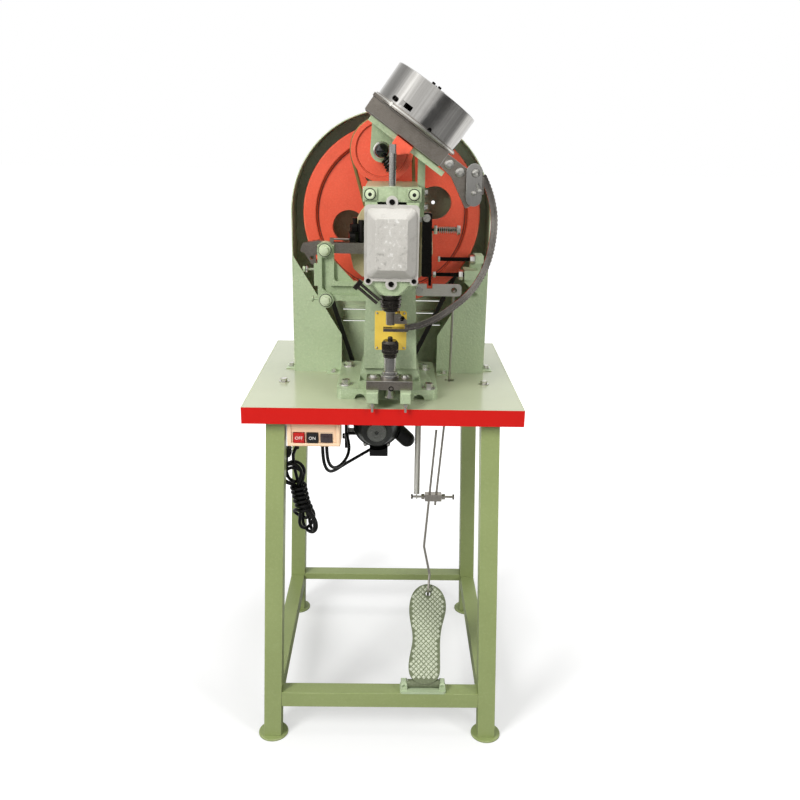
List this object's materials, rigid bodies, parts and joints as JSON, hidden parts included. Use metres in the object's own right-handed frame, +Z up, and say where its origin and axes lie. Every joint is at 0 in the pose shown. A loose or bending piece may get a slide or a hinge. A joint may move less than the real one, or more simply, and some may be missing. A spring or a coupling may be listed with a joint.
{
  "type": "eyelet machine",
  "caption": "Stand-mounted automatic eyelet machine: treadle, motor, flywheel in an arched guard, tilted feed hopper, curved chute, punch ram and die on a four-legged table.",
  "frame": {"origin": "on the floor under the centre of the stand", "axes": "+Z up, -Y towards the operator, +X to the operator's right"},
  "size_m": [0.56, 0.59, 1.4232],
  "materials": {
    "green_paint": "semi-gloss",
    "casting_green": "painted, semi-gloss",
    "board_green": "painted, smooth",
    "band_red": "satin",
    "red_paint": "painted, semi-gloss",
    "dark_rubber": "matte",
    "foot_steel": "worn",
    "cover_grey": "cast, satin",
    "bright_steel": "bright",
    "worn_steel": "worn, oiled",
    "black_steel": "blackened",
    "beige_iron": "unpainted, aged",
    "belt_olive": "matte",
    "motor_grey": "satin",
    "cream_plastic": "satin",
    "button_red": "gloss",
    "button_black": "gloss",
    "knob_black": "gloss",
    "cord_black": "matte"
  },
  "bodies": {
    "machine": {"stand_legs": "green_paint", "stand_rails": "green_paint", "foot_discs": "foot_steel", "tabletop": "board_green", "table_edge_band": "band_red", "hex_bolts": "bright_steel", "frame_casting": "casting_green", "head_cap": "casting_green", "gear_cover": "cover_grey", "oil_pins": "bright_steel", "die_bar": "bright_steel", "die_post": "bright_steel", "die_collar": "worn_steel", "hopper_belt": "belt_olive", "v_belt": "dark_rubber", "motor": "motor_grey", "terminal_box": "black_steel", "capacitor": "black_steel", "motor_bracket": "black_steel", "guard_shell": "green_paint", "guard_back": "green_paint", "guard_plates": "green_paint", "bearing_flange": "beige_iron", "hopper_drum": "bright_steel", "hopper_lid": "bright_steel", "hopper_base": "worn_steel", "outlet_plate": "worn_steel", "hopper_bracket": "casting_green", "hopper_block": "red_paint", "feed_bracket": "casting_green", "pivot_pins": "bright_steel", "stop_screws": "black_steel", "pedal_bracket": "green_paint", "return_spring": "bright_steel", "switch_box": "cream_plastic", "motor_cables": "cord_black", "mains_lead": "cord_black", "mains_hank": "cord_black", "mains_plug": "cord_black"},
    "flywheel_set": {"flywheel": "red_paint", "hub_pulley": "bright_steel"},
    "motor_pulley_set": {"motor_pulley": "bright_steel"},
    "hopper_drive": {"hopper_pulley": "red_paint", "hopper_knob": "knob_black"},
    "crank": {"crankshaft": "bright_steel"},
    "ram_set": {"ram": "bright_steel", "ram_collar": "bright_steel", "punch_holder": "bright_steel"},
    "chute_set": {"chute": "worn_steel", "link_plate": "bright_steel"},
    "treadle": {"pedal": "casting_green"},
    "rod_set": {"pull_rods": "worn_steel", "rod_clamp": "worn_steel"},
    "lever": {"trip_lever": "bright_steel"},
    "latch": {"latch_arm": "black_steel", "spring_bolt": "black_steel"},
    "rocker": {"feed_rocker": "worn_steel", "follower_nuts": "black_steel"},
    "off_key": {"off_button": "button_red"},
    "on_key": {"on_button": "button_black"}
  },
  "joints": [
    {"name": "flywheel_spin", "type": "hinge", "parent": "machine", "child": "flywheel_set", "pos_m": [0.012, 0.034, 1.128], "axis": [0, 1, 0], "continuous": true},
    {"name": "motor_pulley_spin", "type": "hinge", "parent": "machine", "child": "motor_pulley_set", "pos_m": [-0.015, 0.038, 0.672], "axis": [0, 1, 0], "continuous": true},
    {"name": "hopper_pulley_spin", "type": "hinge", "parent": "machine", "child": "hopper_drive", "pos_m": [-0.01, -0.026, 1.264], "axis": [0, 1, 0], "continuous": true},
    {"name": "crank_turn", "type": "hinge", "parent": "machine", "child": "crank", "pos_m": [0.012, -0.13, 1.128], "axis": [0, 1, 0], "continuous": true},
    {"name": "ram_slide", "type": "slide", "parent": "machine", "child": "ram_set", "axis": [0, 0, 1], "range_m": [-0.018, 0]},
    {"name": "chute_swing", "type": "hinge", "parent": "machine", "child": "chute_set", "pos_m": [0.167, -0.226, 1.229], "axis": [0, 1, 0], "range_deg": [-12, 0]},
    {"name": "pedal_tilt", "type": "hinge", "parent": "machine", "child": "treadle", "pos_m": [0.108, -0.259, 0.131], "axis": [1, 0, 0], "range_deg": [-8, 0], "stiffness_Nm_per_rad": 14, "springref_deg": 14.32, "deforming": ["return_spring"]},
    {"name": "rod_hinge", "type": "hinge", "parent": "treadle", "child": "rod_set", "pos_m": [0.108, -0.12465, 0.27667], "axis": [1, 0, 0], "range_deg": [0, 9.6]},
    {"name": "trip_lever_turn", "type": "hinge", "parent": "machine", "child": "lever", "pos_m": [0.072, -0.08, 0.982], "axis": [0, 1, 0], "range_deg": [0, 15]},
    {"name": "latch_turn", "type": "hinge", "parent": "machine", "child": "latch", "pos_m": [0.084, -0.08, 1.132], "axis": [0, 1, 0], "range_deg": [-2, 0]},
    {"name": "feed_rock", "type": "hinge", "parent": "machine", "child": "rocker", "pos_m": [-0.124, -0.085, 1.068], "axis": [0, 1, 0], "range_deg": [-2.5, 2.5]},
    {"name": "off_press", "type": "slide", "parent": "machine", "child": "off_key", "axis": [0, 1, 0], "range_m": [0, 0.0025], "stiffness_N_per_m": 400},
    {"name": "on_press", "type": "slide", "parent": "machine", "child": "on_key", "axis": [0, 1, 0], "range_m": [0, 0.0025], "stiffness_N_per_m": 400}
  ],
  "couplings": [
    {"joint": "motor_pulley_spin", "follows": "flywheel_spin", "ratio": 8.3043},
    {"joint": "hopper_pulley_spin", "follows": "flywheel_spin", "ratio": 0.76562},
    {"joint": "chute_swing", "follows": "ram_slide", "rad_per_m": 11.6},
    {"joint": "rod_hinge", "follows": "pedal_tilt", "ratio": -1.194},
    {"joint": "trip_lever_turn", "follows": "pedal_tilt", "ratio": -1.87},
    {"joint": "latch_turn", "follows": "pedal_tilt", "ratio": 0.25}
  ]
}
